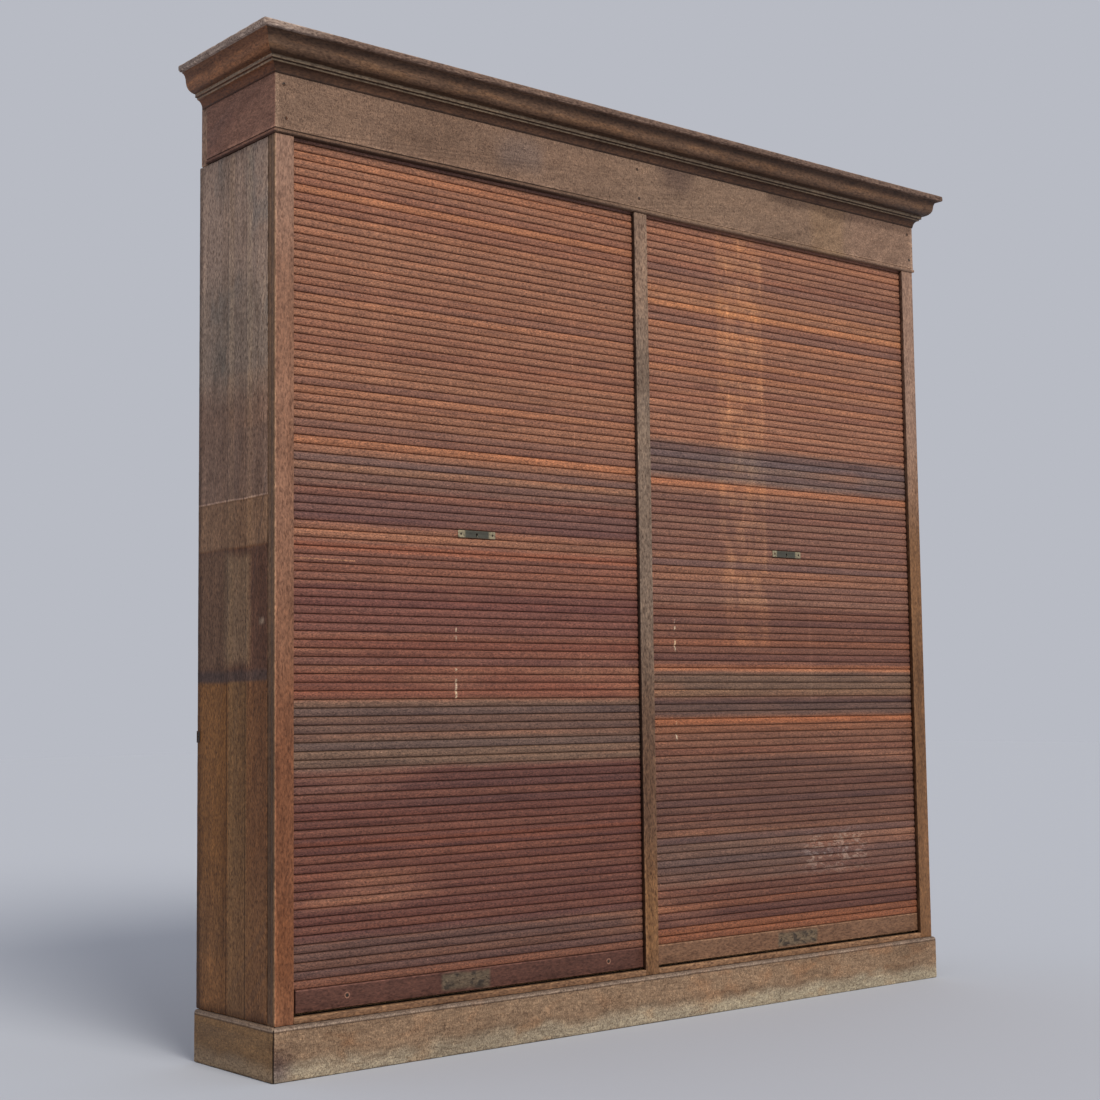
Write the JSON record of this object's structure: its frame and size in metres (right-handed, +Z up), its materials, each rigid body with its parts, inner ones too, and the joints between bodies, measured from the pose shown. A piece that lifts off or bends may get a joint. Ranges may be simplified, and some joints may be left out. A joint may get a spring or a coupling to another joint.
{
  "type": "tambour cabinet",
  "caption": "Tall wooden office cabinet with side-by-side roll-up tambour shutters, shelves behind them, a plinth and a moulded cornice.",
  "frame": {"origin": "middle of the bottom of the whole cabinet's box, on the floor", "axes": "+Z up, the front and its shutters face -Y, +X to the right seen from the front"},
  "size_m": [2.4592, 0.4346, 2.424],
  "materials": {
    "plinth_oak": "worn wax, bleached along the floor",
    "side_oak": "stained oak, patchy and dull",
    "frame_oak": "stained oak, rubbed at the edges",
    "head_oak": "grey-brown oak, dry and worn",
    "cornice_oak": "dark oak, dull",
    "inner_wood": "bare planed softwood, aged",
    "slat_wood": "red-brown stained slats, each a little different",
    "canvas": "coarse glued linen canvas",
    "iron": "dark iron with light rust",
    "brass": "tarnished brass, worn dark in the middle"
  },
  "bodies": {
    "case": {"back_panel": "inner_wood", "bottom_board": "inner_wood", "cap_board": "head_oak", "case_side_left": "side_oak", "case_side_right": "side_oak", "cornice_front": "cornice_oak", "cornice_side_left": "cornice_oak", "cornice_side_right": "cornice_oak", "dust_board_left": "inner_wood", "dust_board_right": "inner_wood", "frieze_front": "head_oak", "frieze_side_left": "head_oak", "frieze_side_right": "head_oak", "head_back": "inner_wood", "head_partition": "inner_wood", "head_post_left": "inner_wood", "head_post_right": "inner_wood", "lock_keeper_left": "iron", "lock_keeper_right": "iron", "muntin": "frame_oak", "partition": "inner_wood", "plinth_front": "plinth_oak", "plinth_rear": "inner_wood", "plinth_side_left": "plinth_oak", "plinth_side_right": "plinth_oak", "roller_bracket_inner_left": "iron", "roller_bracket_inner_right": "iron", "roller_bracket_outer_left": "iron", "roller_bracket_outer_right": "iron", "shelf_1_left": "inner_wood", "shelf_1_right": "inner_wood", "shelf_2_left": "inner_wood", "shelf_2_right": "inner_wood", "shelf_3_left": "inner_wood", "shelf_3_right": "inner_wood", "shelf_4_left": "inner_wood", "shelf_4_right": "inner_wood", "shelf_5_left": "inner_wood", "shelf_5_right": "inner_wood", "side_eye_plate": "iron", "sill_left": "frame_oak", "sill_right": "frame_oak", "stile_left": "frame_oak", "stile_right": "frame_oak"},
    "left_shutter": {"slats_left": "slat_wood", "canvas_left": "canvas", "lift_rail_left": "slat_wood"},
    "left_roller": {"roller_left": "inner_wood"},
    "left_lock": {"lock_plate_left": "brass", "lock_case_left": "iron"},
    "left_lock_bolt": {"lock_bolt_left": "brass"},
    "right_shutter": {"slats_right": "slat_wood", "canvas_right": "canvas", "lift_rail_right": "slat_wood"},
    "right_roller": {"roller_right": "inner_wood"},
    "right_lock": {"lock_plate_right": "brass", "lock_case_right": "iron"},
    "right_lock_bolt": {"lock_bolt_right": "brass"}
  },
  "joints": [
    {"name": "left_lift", "type": "slide", "parent": "case", "child": "left_shutter", "axis": [0, 0, 1], "range_m": [0, 1.99], "deforming": ["slats_left", "canvas_left"]},
    {"name": "left_roll", "type": "hinge", "parent": "case", "child": "left_roller", "pos_m": [-0.57575, -0.0047, 2.295], "axis": [-1, 0, 0], "range_deg": [0, 2130]},
    {"name": "left_lock_rise", "type": "slide", "parent": "case", "child": "left_lock", "axis": [0, 0, 1], "range_m": [0, 1.0164]},
    {"name": "left_bolt_throw", "type": "slide", "parent": "left_lock", "child": "left_lock_bolt", "axis": [1, 0, 0], "range_m": [0, 0.01]},
    {"name": "right_lift", "type": "slide", "parent": "case", "child": "right_shutter", "axis": [0, 0, 1], "range_m": [0, 1.99], "deforming": ["slats_right", "canvas_right"]},
    {"name": "right_roll", "type": "hinge", "parent": "case", "child": "right_roller", "pos_m": [0.57575, -0.0047, 2.295], "axis": [-1, 0, 0], "range_deg": [0, 2130]},
    {"name": "right_lock_rise", "type": "slide", "parent": "case", "child": "right_lock", "axis": [0, 0, 1], "range_m": [0, 1.0164]},
    {"name": "right_bolt_throw", "type": "slide", "parent": "right_lock", "child": "right_lock_bolt", "axis": [-1, 0, 0], "range_m": [0, 0.01]}
  ],
  "couplings": [
    {"joint": "left_roll", "follows": "left_lift", "rad_per_m": 18.6},
    {"joint": "left_lock_rise", "follows": "left_lift", "ratio": 0.5107},
    {"joint": "right_roll", "follows": "right_lift", "rad_per_m": 18.6},
    {"joint": "right_lock_rise", "follows": "right_lift", "ratio": 0.5107}
  ]
}
